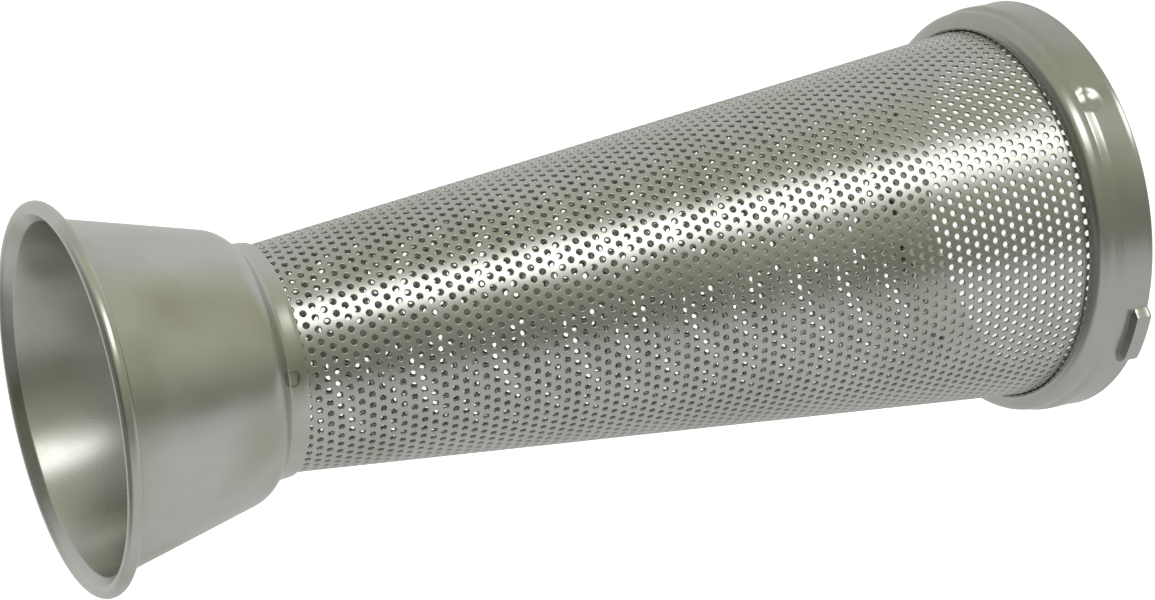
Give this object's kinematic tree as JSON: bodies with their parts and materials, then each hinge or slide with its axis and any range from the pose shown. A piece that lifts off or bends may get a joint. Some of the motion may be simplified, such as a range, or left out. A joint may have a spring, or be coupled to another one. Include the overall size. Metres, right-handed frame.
{
  "type": "tomato press strainer screen",
  "caption": "Perforated steel cone that strains pulp, with a flared outlet funnel at its small end and a bayonet collar that locks onto the press at its large end.",
  "frame": {"origin": "centre of the collar's rear rim, on the cone's axis, where the screen stands", "axes": "+Z along the axis to the outlet mouth, -Y toward the camera side of the picture"},
  "size_m": [0.084, 0.084, 0.208],
  "materials": {
    "screen_steel": "rolled stainless sheet, semi-bright",
    "funnel_steel": "spun stainless sheet, bright with faint straw tint",
    "collar_steel": "pressed stainless sheet, bright"
  },
  "bodies": {
    "root": {"perforated_cone": "screen_steel", "outlet_funnel": "funnel_steel", "bayonet_collar": "collar_steel"}
  },
  "joints": []
}
